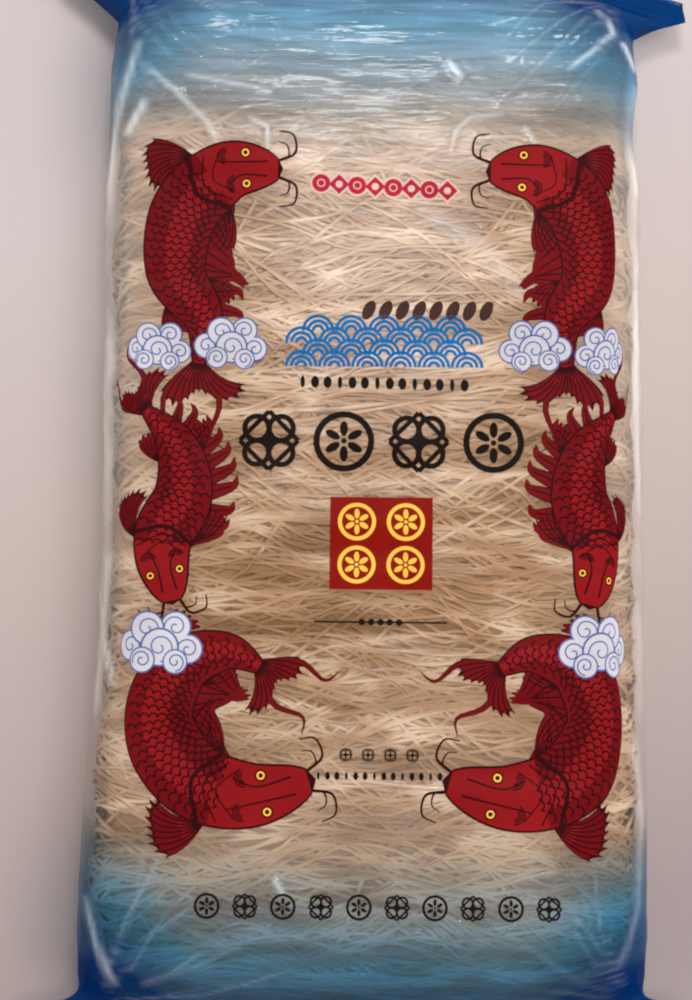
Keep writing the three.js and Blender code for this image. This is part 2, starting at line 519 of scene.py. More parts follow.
def tubes(name, paths, normals, radii, shaded_tones):
    """Round strands along paths, closed at both ends."""
    strands, steps = paths.shape[:2]
    along = np.gradient(paths, axis=1)
    along /= np.linalg.norm(along, axis=-1, keepdims=True)
    across = np.cross(along, normals)
    across /= np.linalg.norm(across, axis=-1, keepdims=True)
    up = np.cross(across, along)
    turn = np.arange(STRAND_SIDES) * 2 * math.pi / STRAND_SIDES
    ring = np.cos(turn)[:, None] * across[:, :, None] + np.sin(turn)[:, None] * up[:, :, None]
    points = paths[:, :, None] + ring * radii[:, None, None, None]
    cap = np.array([[0, 1, 2, 3], [0, 3, 4, 5]])
    last = (steps - 1) * STRAND_SIDES
    one = np.concatenate([grid_faces(points[0], closed=True), cap, cap[:, ::-1] + last])
    starts = (np.arange(strands) * steps * STRAND_SIDES)[:, None, None]
    faces = (one + starts).reshape(-1, 4)
    outward = np.repeat(normals, STRAND_SIDES, axis=1)
    values = {"tone_and_depth_shade": np.repeat(shaded_tones, STRAND_SIDES), "outward": outward}
    return new_mesh(name, points, faces, values)


def make_strands(name, material, rng, p, y, depth, per_skein=1):
    """Strands through places on the block, all with the same number of places.

    They are painted paler the nearer they lie to the film, which is painted shade on those that lie deeper,
    and they let the light through to those below. Those of a skein are alike in tone.
    """
    paths, normals = on_block(p, soft_end(y), depth)
    count = len(paths)
    radii = STRAND_RADIUS * rng.uniform(0.8, 1.18, count)
    # Painted shade: a strand's tone darkens the deeper it lies, because the strands cast no shadows
    shallow_painted_light = 1 - np.clip((np.broadcast_to(depth, paths.shape[:2]) - 1) / 2.2, 0, 1)
    skein = np.repeat(rng.uniform(0, 1, math.ceil(count / per_skein)), per_skein)[:count, None]
    shaded_tones = 0.4 * shallow_painted_light + 0.35 * skein + 0.25 * rng.uniform(0, 1, (count, 1))
    piece = give(tubes(name, paths, normals, radii, shaded_tones), material)
    piece.visible_shadow = False


def wound_strands(rng, count, per_skein, middle, reach, steps, depth):
    """Strands wound round the block in skeins. Middle and reach are shares of the way round it."""
    skeins = count // per_skein
    count = skeins * per_skein
    t = np.linspace(0, 1, steps)[None]
    spread = np.linspace(-BLOCK_HALF_LENGTH - 2, BLOCK_HALF_LENGTH + 2, skeins)
    base = rng.permutation(spread + rng.normal(0, SKEIN_PLACE, skeins))[:, None]
    lane = base + rng.normal(0, SKEIN_SLOPE, (skeins, 1)) * (2 * t - 1)
    for way in (-1, 1):
        lane = lane + rng.normal(0, SKEIN_ENDS, (skeins, 1)) * smoothstep(way * (2 * t - 1), 0.35, 1.1)
    lane = np.repeat(lane + waves(rng, t, SKEIN_WAVES, skeins), per_skein, 0)
    own = rng.normal(0, STRAND_SLOPE, (count, 1)) * (2 * t - 1)
    own = rng.normal(0, STRAND_PLACE, (count, 1)) + own + waves(rng, t, STRAND_WAVES, count)
    start = middle - reach * rng.uniform(0.42, 0.5, (count, 1))
    end = middle + reach * rng.uniform(0.42, 0.5, (count, 1))
    p = lerp(start, end, t) * GIRTH
    low, high = depth
    bed = np.repeat(rng.uniform(low, high, skeins), per_skein)[:, None]
    sunk = bed + rng.normal(0, 0.5, (count, 1)) + waves(rng, t, (0.5, 0.5, 0.4), count)
    return p, lane + own, low + np.abs(sunk - low)


def loop_strands(rng, side, skeins, per_skein, steps):
    """Skeins that turn back on themselves at a side of the block."""
    count = skeins * per_skein
    s = np.linspace(-1, 1, steps)[None]
    far = BLOCK_HALF_LENGTH - 12
    base = np.repeat(rng.uniform(-far, far, skeins), per_skein)[:, None]
    edge = GIRTH * (0.25 if side > 0 else 0.75) + side * rng.uniform(8, 20, (skeins, 1))
    edge = np.repeat(edge, per_skein, 0) + side * rng.normal(0, 1.4, (count, 1))
    length = np.repeat(rng.uniform(24, 48, (skeins, 1)), per_skein, 0)
    radius = np.repeat(rng.uniform(3, 9, (skeins, 1)), per_skein, 0)
    radius = radius * rng.uniform(0.6, 1.25, (count, 1))
    p = edge + side * length * (np.sqrt(s * s + 0.03) - 0.17)
    y = base + radius * s / np.sqrt(s * s + 0.05) + waves(rng, (s + 1) / 2, (1.2, 0.8, 0.4), count)
    y = y + rng.normal(0, 1.2, (count, 1)) + rng.normal(0, 3, (count, 1)) * s
    sunk = rng.uniform(1.1, 2.4, (count, 1)) + np.abs(waves(rng, (s + 1) / 2, (0.4, 0.3), count))
    return p, y, sunk


def stray_strands(rng, count, steps):
    """Short stretches that cross the others on top of the block."""
    s = np.linspace(-1, 1, steps)[None]
    half = rng.uniform(14, 42, (count, 1))
    turn = rng.normal(0, 0.42, (count, 1))
    p = GIRTH / 2 + rng.uniform(-50, 50, (count, 1)) + half * np.cos(turn) * s
    bow = rng.normal(0, 0.1, (count, 1)) * half * (s * s - 0.3)
    y = rng.uniform(-BLOCK_HALF_LENGTH, BLOCK_HALF_LENGTH, (count, 1)) + half * np.sin(turn) * s + bow
    sunk = 1.1 + 2.2 * s ** 6 + rng.uniform(0, 0.8, (count, 1))
    return p, y, sunk + np.abs(waves(rng, (s + 1) / 2, (0.3,), count))


def make_core(material):
    """The dense middle of the block, which the open strands let show."""
    y = np.linspace(-BLOCK_HALF_LENGTH + 5, BLOCK_HALF_LENGTH - 5, 160)[:, None]
    p = np.linspace(0, 1, 121)[None, :-1] * GIRTH
    y, p = np.broadcast_arrays(y, p)
    depth = 3.3 + 0.5 * lattice_noise(p / 14, y / 1.9, 7)
    points, outward = on_block(p, y.copy(), depth)
    core = new_mesh("noodle_core", points, grid_faces(points, closed=True), {"outward": outward})
    give(core, material)


def make_noodles(material, core_material):
    rng = np.random.default_rng(11)
    make_core(core_material)
    for number in (1, 2, 3):
        front = wound_strands(rng, 246, 6, middle=0.5, reach=0.6, steps=41, depth=(1.15, 2.9))
        make_strands(f"noodles_front_{number}", material, rng, *front, 6)
    back = wound_strands(rng, 250, 5, middle=0.0, reach=0.6, steps=36, depth=(1.0, 3.0))
    make_strands("noodles_back", material, rng, *back, 5)
    for name, side in (("right", 1), ("left", -1)):
        loops = loop_strands(rng, side, 15, 6, steps=30)
        make_strands(f"noodle_loops_{name}", material, rng, *loops, 6)
    make_strands("noodle_strays", material, rng, *stray_strands(rng, 260, steps=14))


# ---- the print's drawing tools

def smooth_course(points, count):
    """count points on a smooth curve through the given ones."""
    p = np.asarray(points, float)
    p = np.vstack([2 * p[0] - p[1], p, 2 * p[-1] - p[-2]])
    t = np.linspace(0, len(p) - 3, count)
    k = np.minimum(t.astype(int), len(p) - 4)
    u = (t - k)[:, None]
    a, b, c, d = p[k], p[k + 1], p[k + 2], p[k + 3]
    bend, twist = 2 * a - 5 * b + 4 * c - d, 3 * b - a - 3 * c + d
    return 0.5 * (2 * b + (c - a) * u + bend * u ** 2 + twist * u ** 3)


def polar(centre, radius, angle):
    """Each point at this distance and in this direction from centre."""
    return np.stack([centre[0] + radius * np.cos(angle), centre[1] + radius * np.sin(angle)], -1)


def sideways(course):
    along = np.gradient(course, axis=0)
    along /= np.linalg.norm(along, axis=1, keepdims=True)
    return np.stack([-along[:, 1], along[:, 0]], 1)


def refined(grid, cell):
    """The grid with its rows and columns split until no cell is longer than cell."""
    for _ in range(2):
        longest = np.linalg.norm(np.diff(grid, axis=0), axis=-1).max()
        parts = max(1, math.ceil(longest / cell))
        t = np.arange((len(grid) - 1) * parts + 1) / parts
        k = np.minimum(t.astype(int), len(grid) - 2)
        grid = lerp(grid[k], grid[k + 1], (t - k)[:, None, None])
        grid = grid.transpose(1, 0, 2)
    return grid


class Print:
    """Collects patches of ink by colour: grids of points on the front, each at its level over the film."""

    def __init__(self):
        self.patches = {}
        self.flip = 1

    def patch(self, colour, level, grid):
        grid = np.array(grid, float)
        grid[..., 0] = PRINT_CENTRE + self.flip * (grid[..., 0] - PRINT_CENTRE)
        grid = refined(grid, PRINT_CELL)
        away = np.abs(grid[..., 0])
        over = np.maximum(away - WRAP_START, 0)
        bent = np.minimum(away, WRAP_START) + WRAP_REACH * (1 - np.exp(-over / WRAP_REACH))
        grid[..., 0] = np.sign(grid[..., 0]) * bent
        down, across = grid[1:, :-1] - grid[:-1, :-1], grid[:-1, 1:] - grid[:-1, :-1]
        if (across[..., 0] * down[..., 1] - across[..., 1] * down[..., 0]).sum() < 0:
            grid = grid[::-1]
        self.patches.setdefault(colour, []).append((level, grid))

    def band(self, colour, level, course, left, right, lanes=3):
        """A strip beside a course, from left to right of it."""
        t = np.linspace(0, 1, lanes)[None, :, None]
        side = sideways(course)[:, None]
        left = np.broadcast_to(left, len(course))[:, None, None]
        right = np.broadcast_to(right, len(course))[:, None, None]
        self.patch(colour, level, course[:, None] + side * lerp(left, right, t))

    def stroke(self, colour, level, points, width, taper=0.0, count=None):
        count = count or max(6, 5 * len(points))
        course = smooth_course(points, count)
        half = width / 2 * (1 - taper * np.linspace(0, 1, count))
        self.band(colour, level, course, half, -half, 2)

    def oval(self, colour, level, centre, radii, angle=0.0):
        t = np.linspace(-1, 1, 5 if max(radii) < 2 else 7)
        u, v = np.meshgrid(t, t)
        x, y = u * np.sqrt(1 - v * v / 2) * radii[0], v * np.sqrt(1 - u * u / 2) * radii[1]
        c, s = math.cos(angle), math.sin(angle)
        self.patch(colour, level, np.stack([centre[0] + c * x - s * y, centre[1] + s * x + c * y], -1))

    def dot(self, colour, level, centre, radius):
        self.oval(colour, level, centre, (radius, radius))

    def arc(self, colour, level, centre, radius, width, start=0.0, end=2 * math.pi, steps=20):
        angle = np.linspace(start, end, steps)[:, None]
        radii = np.array([[radius - width / 2, radius + width / 2]])
        self.patch(colour, level, polar(centre, radii, angle))

    def box(self, colour, level, low, high):
        x, y = np.array([low[0], high[0]]), np.array([low[1], high[1]])
        self.patch(colour, level, np.stack(np.meshgrid(x, y), -1))


# ---- the print's carp

# A carp is drawn along a course of so many points. Places on it are numbers of points, from nose to tail
CARP_STEPS = 56
SCALE_WIDTH = 2.3
SCALE_PITCH = 1.65
RAY_WIDTH = 0.44
# The left half's carp, by points of the course, width, side of the crest and length of the tail
CARP = (
    (((-22, 75), (-36, 74), (-46, 64), (-48, 49), (-41, 37), (-42, 25)), 8.6, 1, 16),
    (((-47, -33), (-50, -18), (-45, -6), (-47, 6), (-55, 15)), 7.6, -1, 13),
    (((-12, -74), (-28, -78), (-42, -74), (-50, -61), (-45, -48), (-34, -44), (-25, -48)), 9.2, -1, 14),
)
# Its clouds of spray, by place and size
SPRAYS = (((-52, 30), 6.0), ((-34, 31), 6.4), ((-50, -42), 7.6))
SWIRL_TURNS = 1.4


def body_half(s, width):
    """Half the carp's width, from its nose, 0, to its tail, 1."""
    return width * 2.17 * s ** 0.45 * (1 - 0.92 * s ** 1.2)


class Body:
    """A carp's middle line, with the sideways direction and half the width at each of its points."""

    def __init__(self, points, width):
        self.width = width
        self.course = smooth_course(points, CARP_STEPS)
        self.side = sideways(self.course)
        self.half = body_half(np.linspace(0, 1, CARP_STEPS), width)

    def beside(self, k, share):
        """Beside point k, by a share of half the width there."""
        return self.course[k] + self.side[k] * self.half[k] * share

    def heading(self, k):
        along = self.course[k + 1] - self.course[k - 1]
        return math.atan2(along[1], along[0])


def fan(ink, level, root, heading, spread, length, rays, notch=0.0, bend=0.0):
    """A flowing rayed fin: a dark outline, a red web with a pointed lobe for each ray, and dark rays."""
    def point(turn, r):
        a = heading + turn + 0.3 * turn * r / length + bend * (r / length) ** 1.6
        return polar(root, r, a)

    def reach(turn):
        share = turn / spread
        middle = 1 - notch * np.cos(share * math.pi / 2) ** 3
        lobes = 1 + 0.07 * np.cos(share * math.pi * rays)
        return length * middle * lobes * (1 - 0.2 * share ** 2)

    angle = np.linspace(-spread, spread, rays * 3 + 1)
    for colour, lift, start, end, wide in (("dark", 0, 0.04, 1.0, 1.0), ("red", 1, 0.1, 0.95, 0.95),
                                           ("bright", 2, 0.12, 0.5, 0.8)):
        r = np.linspace(start, end, 7)[:, None] * reach(angle)[None]
        ink.patch(colour, level + lift, point(angle[None] * wide, r))
    for k in range(1, rays):
        turn = lerp(-spread, spread, k / rays)
        r = np.linspace(0.12, 0.9, 6) * reach(turn)
        ink.stroke("dark", level + 3, point(turn, r), RAY_WIDTH, 0.3, 9)


def streamer(ink, level, points, width):
    """A ribbon of fin that trails off to a point."""
    ink.stroke("dark", level, points, width + 0.7, 0.9, 14)
    ink.stroke("red", level + 1, points, width, 1.0, 14)


def scales(ink, level, body, start, end):
    """Rows of scales, each a thin dark arc."""
    course = body.course
    length = distances(course)
    total = length[-1]
    for k in range(int((end - start) * total / SCALE_PITCH)):
        s = start + (k + 0.5) * SCALE_PITCH / total
        at = np.interp(s * total, length, np.arange(len(course)))
        i = int(at)
        j = min(i + 1, len(course) - 1)
        here = lerp(course[i], course[j], at - i)
        out = lerp(body.side[i], body.side[j], at - i)
        half = body_half(s, body.width) - 0.6
        rows = max(2, round(2 * half / SCALE_WIDTH))
        lane = 2 * half / rows
        turn = math.atan2(out[1], out[0])
        for m in range(rows - k % 2):
            centre = here + out * (m - (rows - k % 2 - 1) / 2) * lane
            ink.arc("dark", level, centre, lane * 0.47, 0.42, turn - math.pi, turn, 6)


def back_fin(ink, level, body, way):
    """A crest of pointed lobes along one side of the body."""
    for k in range(13, 47, 3):
        size = body.width * (0.3 + 0.5 * math.sin(math.pi * (k - 9) / 42))
        root = body.beside(k, 0.7 * way)
        out = body.course[k + 3] + body.side[k] * (body.half[k] + size * 0.75) * way
        tip = body.course[k + 6] + body.side[k] * (body.half[k] + size) * way
        ink.stroke("dark", level, [root, out, tip], size * 0.62 + 0.7, 0.92, 12)
        ink.stroke("red", level + 1, [root, out, tip], size * 0.62, 0.95, 12)
        ink.stroke("dark", level + 2, [root, out], RAY_WIDTH, 0.3, 6)


def head(ink, level, body):
    width, course = body.width, body.course
    cheek = slice(1, 15)
    inside = body.half[cheek] - 0.55
    ink.band("bright", level, course[cheek], inside, -inside, 7)
    for k, wide, line in ((15, 0.95, 1.0), (13, 0.84, 0.35), (11, 0.7, 0.3)):
        ink.stroke("dark", level + 1, [body.beside(k, wide), course[k + 3], body.beside(k, -wide)], line)
    back = (course[0] - course[4]) / np.linalg.norm(course[0] - course[4])
    facing = math.atan2(back[1], back[0])
    for sign in (1, -1):
        brow = [body.beside(k, sign * wide) for k, wide in ((3, 0.4), (8, 0.25), (12, 0.45))]
        ink.stroke("dark", level + 1, brow, 0.5, 0.4)
        eye = body.beside(7, sign * 0.6)
        for lift, (colour, radius) in enumerate((("dark", 0.155), ("gold", 0.11), ("black", 0.06))):
            ink.dot(colour, level + 2 + lift, eye, radius * width)
        for reach in (0.24, 0.17, 0.1):
            centre = body.beside(10, sign * 0.5)
            ink.arc("dark", level + 1, centre, reach * width, 0.36, facing + 1.7, facing + 4.6, 10)
        lip = body.beside(1, sign * 0.7)
        out = sign * body.side[1]
        for reach, line in ((1.0, 0.8), (0.6, 0.6)):
            bow = lip + (back * 0.5 + out * 0.25) * width * reach
            tip = lip + (out * 0.75 + back * 0.45) * width * reach
            curl = tip + (out * 0.1 - back * 0.4 * reach) * width
            ink.stroke("dark", level + 1, [lip, bow, tip, curl], line, 0.6)


def carp(ink, points, width, way, tail):
    """A long-finned carp seen from above, along points from nose to tail, its crest on one side."""
    body = Body(points, width)
    course, half = body.course, body.half
    fan(ink, 0, course[52], body.heading(53), 0.72, tail, 12, notch=0.45, bend=0.35 * way)
    along = course[55] - course[50]
    along /= np.linalg.norm(along)
    for sign in (1, -1):
        for k, turn, spread, length, rays in ((14, 0.85, 0.46, 1.7, 8), (37, 0.6, 0.36, 1.2, 5)):
            root = body.beside(k, sign * 0.8)
            heading = body.heading(k) + sign * turn
            fan(ink, 0, root, heading, spread, width * length, rays, 0.12, -0.5 * sign)
        out = sign * body.side[53]
        trail = [course[53] + (along * back + out * away) * tail
                 for back, away in ((0, 0), (0.6, 0.42), (1.15, 0.36), (1.3, 0.62))]
        streamer(ink, 0, trail, 1.5)
    back_fin(ink, 1, body, way)
    ink.band("dark", 4, course, half, -half, 9)
    flank = slice(9, 55)
    ink.band("red", 5, course[flank], half[flank] - 0.45, 0.45 - half[flank], 7)
    ink.band("bright", 6, course[flank], 0.45 * half[flank], -0.3 * half[flank], 5)
    scales(ink, 7, body, 0.27, 0.98)
    head(ink, 7, body)


# ---- the print's other figures

def swirl(ink, centre, radius, facing, level):
    ink.dot("line", level, centre, radius)
    ink.dot("white", level + 1, centre, radius * 0.93 - 0.15)
    angle = np.linspace(0, SWIRL_TURNS * 2 * math.pi, 26)
    course = polar(centre, radius * (0.1 + 0.66 * angle / angle[-1]), angle * facing + 1)
    ink.stroke("line", level + 2, course, 0.34, 0, 26)


def spray(ink, centre, size):
    """A cloud of spray: overlapping rounds, each with a spiral in it."""
    lobes = ((-0.95, -0.1, 0.5, 0), (0.9, -0.2, 0.48, 0), (-0.4, 0.45, 0.55, 2), (0.5, 0.5, 0.5, 0),
             (0.0, -0.15, 0.62, 4), (-0.55, -0.55, 0.42, 6), (0.5, -0.6, 0.4, 6))
    for k, (dx, dy, r, over) in enumerate(lobes):
        place = (centre[0] + dx * size, centre[1] + dy * size)
        swirl(ink, place, r * size, 1 if k % 2 else -1, 10 + over)


def lozenge(ink, colour, level, centre, half):
    x, y = centre
    ink.patch(colour, level, [[(x, y + half), (x + half, y)], [(x - half, y), (x, y - half)]])


def title(ink, start, end, size, halo):
    """A row of rings and lozenges in crimson, each on a pale halo."""
    half = size / 2
    for k, centre in enumerate(np.linspace(start, end, 8)):
        if k % 2:
            lozenge(ink, "halo", 0, centre, half * 1.12 + 1.4 * halo)
            lozenge(ink, "crimson", 1, centre, half * 1.12)
            ink.dot("halo", 2, centre, 0.2 * size)
        else:
            ink.dot("halo", 0, centre, half + halo)
            ink.arc("crimson", 1, centre, half - 0.6, 1.2)
            ink.dot("crimson", 1, centre, 0.17 * size)


def beads(ink, start, end, count, radii):
    """A row of upright beads."""
    for k, centre in enumerate(np.linspace(start, end, count)):
        ink.oval("black", 0, centre, (radii[0] * (1 if k % 3 else 0.55), radii[1]))


def sea(ink, left, low, columns, rows, size):
    """The old pattern of overlapping arcs."""
    for row in range(rows):
        odd = (rows - 1 - row) % 2
        for k in range(columns - odd):
            centre = (left + size * (k + 0.5 + 0.5 * odd), low + 0.36 * size * (rows - 1 - row))
            for share in (0.45, 0.3, 0.15):
                ink.arc("blue", row * 2, centre, share * size, 0.095 * size, 0, math.pi, 12)


def rule(ink, start, end):
    """A thin line with five dots in its middle."""
    start, end = np.asarray(start), np.asarray(end)
    ink.stroke("black", 0, [start, end], 0.45)
    for k in range(-2, 3):
        ink.dot("black", 1, lerp(start, end, 0.5 + k * 0.07), 0.8)


def knot(ink, centre, size):
    """Four loops round a diamond."""
    for k in range(4):
        a = k * math.pi / 2
        ink.arc("black", 0, polar(centre, 0.27 * size, a + math.pi / 4), 0.19 * size, 0.085 * size)
        side = [polar(centre, 0.46 * size, a), polar(centre, 0.46 * size, a + math.pi / 2)]
        ink.stroke("black", 1, side, 0.075 * size)
    ink.dot("black", 0, centre, 0.09 * size)


def flower(ink, centre, size, colour="black", level=0):
    """Six petals in a ring."""
    ink.arc(colour, level, centre, 0.43 * size, 0.1 * size, steps=28)
    for k in range(6):
        a = k * math.pi / 3 + math.pi / 6
        ink.oval(colour, level, polar(centre, 0.2 * size, a), (0.125 * size, 0.065 * size), a)
    ink.dot(colour, level, centre, 0.045 * size)


def middle(ink):
    c = PRINT_CENTRE
    title(ink, (c - 15.6, 71.6), (c + 15.6, 70.0), 4.5, 0.5)
    for k in range(8):
        ink.oval("brown", 0, (c - 3.5 + k * 4.1, 39.6), (1.45, 2.6), -0.45)
    sea(ink, c - 24, 25.6, 6, 4, 8.1)
    beads(ink, (c - 19.5, 21.8), (c + 20, 21.2), 14, (1.0, 1.5))
    for k, motif in enumerate((knot, flower, knot, flower)):
        motif(ink, (c - 27.5 + 18.2 * k, 7.2), 15.5)
    ink.box("vermilion", 0, (c - 12.4, -28.8), (c + 12.4, -6.4))
    for dx in (-5.9, 5.9):
        for dy in (-5.2, 5.2):
            flower(ink, (c + dx, -17.6 + dy), 9.6, "gold", 1)
    rule(ink, (c - 16, -36.6), (c + 16, -36.6))
    for k in range(4):
        knot(ink, (c - 8 + 5.3 * k, -68.2), 3.4)
    beads(ink, (c - 14.5, -73.2), (c + 14.5, -73.2), 14, (0.6, 0.95))
    for k in range(10):
        motif = knot if k % 2 else flower
        motif(ink, (c - 40.5 + 9 * k, -104), 6.4)


def draw_print():
    ink = Print()
    for flip in (1, -1):
        ink.flip = flip
        for one in CARP:
            carp(ink, *one)
        for place, size in SPRAYS:
            spray(ink, place, size)
    ink.flip = 1
    middle(ink)
    return ink.patches


def make_print():
    for colour, patches in draw_print().items():
        points, faces = [], []
        start = 0
        for level, grid in patches:
            x, y = grid[..., 0], grid[..., 1]
            z = front_height(x, y) + PRINT_LIFT + PRINT_STEP * level
            points.append(np.stack([x, swept_length(x, y), z], -1).reshape(-1, 3))
            faces.append(grid_faces(grid, start))
            start += x.size
        piece = new_mesh(f"print_{colour}", np.concatenate(points), np.concatenate(faces))
        give(piece, ink_material(f"ink_{colour}", INKS[colour]))
        piece.visible_shadow = False


# ---- materials

# Colours of the ink, linear
INKS = {
    "dark": (0.026, 0.003, 0.004),
    "red": (0.12, 0.004, 0.006),
    "bright": (0.2, 0.007, 0.009),
    "crimson": (0.33, 0.012, 0.035),
    "vermilion": (0.18, 0.006, 0.003),
    "white": (0.46, 0.45, 0.5),
    "line": (0.07, 0.1, 0.25),
    "black": (0.009, 0.006, 0.005),
    "blue": (0.001, 0.1, 0.28),
    "gold": (0.75, 0.42, 0.06),
    "halo": (0.52, 0.38, 0.32),
    "brown": (0.045, 0.02, 0.018),
}

# How closely the noodles' shading follows the block's skin, not each strand's own round side
FLATNESS = 0.94
# Colours of the noodles and of the block's core, from shade to light. The shade is painted: deeper strands
# and the core beneath them all are darker
NOODLE_TONES = ((0.0, (0.205, 0.105, 0.045)), (0.55, (0.355, 0.21, 0.113)), (1.0, (0.56, 0.41, 0.28)))
CORE_TONES = ((0.0, (0.22, 0.113, 0.05)), (0.55, (0.29, 0.163, 0.083)), (1.0, (0.36, 0.212, 0.113)))
# The floor's colours, from dark to light: painted shade, the floor darker towards the near end and the right
FLOOR_TONES = ((0.0, (0.32, 0.266, 0.265)), (0.3, (0.405, 0.335, 0.323)), (0.65, (0.48, 0.41, 0.39)),
               (1.0, (0.53, 0.475, 0.475)))

# The film as its blue ink deepens: what it lets through, and its colour where it is hazy
FILM_TINT = ((0.0, (0.985, 0.98, 0.975)), (0.1, (0.84, 0.83, 0.8)), (0.35, (0.64, 0.77, 0.89)),
             (0.65, (0.24, 0.62, 0.96)), (1.0, (0.04, 0.34, 0.74)))
FILM_PAINT = ((0.0, (0.95, 0.87, 0.8)), (0.2, (0.37, 0.43, 0.46)), (0.6, (0.17, 0.37, 0.54)),
              (1.0, (0.001, 0.037, 0.16)))
# The white laid into the creases and glints: partly the folds' own whitening, partly painted highlight
FILM_WHITE = (0.78, 0.82, 0.86, 1)
# Where these come in, in metres from the pack's middle along the film: the blue ink, its opaque part, the
# film that hangs loose, and the pressed seals
INK_REACH = (0.085, 0.138)
OPAQUE_REACH = (0.128, 0.136)
LOOSE_REACH = (0.07, 0.12)
SEAL_REACH = (0.126, 0.135)
# The same in the pack's own frame: the sides, across it, and the far and near ends, along it
EDGE_REACH = (0.036, 0.06)
FAR_REACH = (0.07, 0.116)
NEAR_REACH = (-0.04, -0.08)
# How much haze each part of the film has, from 0, clear, to 1, and the most that there may be. More haze on
# the right than the left is painted light; the far end's is partly painted sheen and the creases' partly
# painted highlight
HAZE = {"left": 0.5, "right": 0.56, "flank": 0.18, "cloud": 0.02, "crinkle": 0.12, "ink": 0.07,
        "opaque": 0.4, "far": 0.6, "near": 0.07, "crease": 0.8, "most": 0.9}
FILM_IOR = 1.48


class Nodes:
    """The node tree of a material or a sky, with short ways to add and join nodes."""

    def __init__(self, owner):
        owner.use_nodes = True
        self.owner = owner
        self.tree = owner.node_tree
        self.tree.nodes.clear()

    def add(self, kind, inputs=None, **settings):
        node = self.tree.nodes.new("ShaderNode" + kind)
        for key, value in settings.items():
            setattr(node, key, value)
        for key, value in (inputs or {}).items():
            if isinstance(value, bpy.types.NodeSocket):
                self.tree.links.new(value, node.inputs[key])
            else:
                node.inputs[key].default_value = value
        return node

    def maths(self, operation, a, b=0.0):
        return self.add("Math", {0: a, 1: b}, operation=operation).outputs[0]

    def plus(self, a, b):
        return self.maths("ADD", a, b)

    def times(self, a, b):
        return self.maths("MULTIPLY", a, b)

    def span(self, value, reach, low=0.0, high=1.0):
        """From low to high, as value goes through its reach."""
        inputs = {"Value": value, "From Min": reach[0], "From Max": reach[1], "To Min": low, "To Max": high}
        return self.add("MapRange", inputs).outputs[0]

    def vectors(self, operation, inputs):
        return self.add("VectorMath", inputs, operation=operation).outputs[0]

    def place(self):
        return self.add("TexCoord").outputs["Object"]

    def axis(self, vector, name):
        return self.add("SeparateXYZ", {0: vector}).outputs[name]

    def normal(self):
        return self.add("NewGeometry").outputs["Normal"]

    def attribute(self, name, output="Fac"):
        return self.add("Attribute", attribute_name=name).outputs[output]

    def noise(self, place, scale, detail, distortion=0.0):
        """Noise over place, with one scale or one for each axis."""
        if isinstance(scale, tuple):
            place = self.add("Mapping", {"Vector": place, "Scale": scale}).outputs[0]
            scale = 1.0
        inputs = {"Vector": place, "Scale": scale, "Detail": detail, "Distortion": distortion}
        return self.add("TexNoise", inputs).outputs["Fac"]

    def ramp(self, share, stops):
        """A colour for each share, through stops of (place, colour)."""
        node = self.add("ValToRGB", {"Fac": share})
        elements = node.color_ramp.elements
        while len(elements) < len(stops):
            elements.new(0.5)
        for element, (place, colour) in zip(elements, stops):
            element.position = place
            element.color = (*colour, 1)
        return node.outputs[0]

    def surface(self, node, output="OutputMaterial"):
        self.add(output, {"Surface": node.outputs[0]})
        return self.owner


def material_nodes(name):
    return Nodes(bpy.data.materials.new(name))


def noodle_material(name, shaded_tones):
    """Translucent starch, shaded mostly by the block's own surface and a little by each strand's."""
    n = material_nodes(name)
    place = n.place()
    # Each strand's tone: its own random tone together with its painted depth shade
    tone_and_depth_shade = n.times(n.attribute("tone_and_depth_shade"), 0.34)
    patch = n.times(n.noise(place, (40, 150, 70), 2.0, 0.5), 1.9)
    # Painted light: the noodles are paler towards the near end, which the lamps light less
    near = n.span(n.axis(place, "Y"), NEAR_REACH, high=0.14)
    colour = n.ramp(n.span(n.plus(n.plus(tone_and_depth_shade, patch), near), (0.7, 1.5)), shaded_tones)
    block = n.vectors("SCALE", {0: n.attribute("outward", "Vector"), "Scale": FLATNESS})
    strand = n.vectors("SCALE", {0: n.normal(), "Scale": 1 - FLATNESS})
    normal = n.vectors("NORMALIZE", {0: n.vectors("ADD", {0: block, 1: strand})})
    return n.surface(n.add("BsdfPrincipled", {
        "Base Color": colour, "Normal": normal, "Roughness": 0.24, "Specular IOR Level": 0.2,
        "Coat Weight": 0.28, "Coat Roughness": 0.1}))


def ink_material(name, colour):
    n = material_nodes(name)
    thin = tuple(min(1, 1.12 * part + 0.001) for part in colour)
    full = tuple(0.9 * part for part in colour)
    shade = n.ramp(n.noise(n.place(), 45.0, 2.0), ((0.3, full), (0.7, thin)))
    return n.surface(n.add("BsdfPrincipled", {
        "Base Color": shade, "Roughness": 0.4, "Specular IOR Level": 0.02}))


def crinkles(n, place):
    """Thin curved lines, 1 on a line: where a noise passes through its middle."""
    away = n.maths("ABSOLUTE", n.maths("SUBTRACT", n.noise(place, 55.0, 1.5, 0.6), 0.5))
    return n.span(away, (0.009, 0.0))


def film_whites(n, place, far, pressed):
    """The creases, partly painted highlight, and painted glints on the loose film of the far end."""
    # Painted highlight: flecks of white haze stand for glints of light on the loose film
    painted_glint = n.span(n.noise(place, (130, 600, 300), 1.0, 1.4), (0.68, 0.8), high=0.7)
    painted_glint = n.times(painted_glint, n.times(far, n.maths("SUBTRACT", 1.0, pressed)))
    return n.maths("MAXIMUM", n.attribute("crease"), painted_glint)


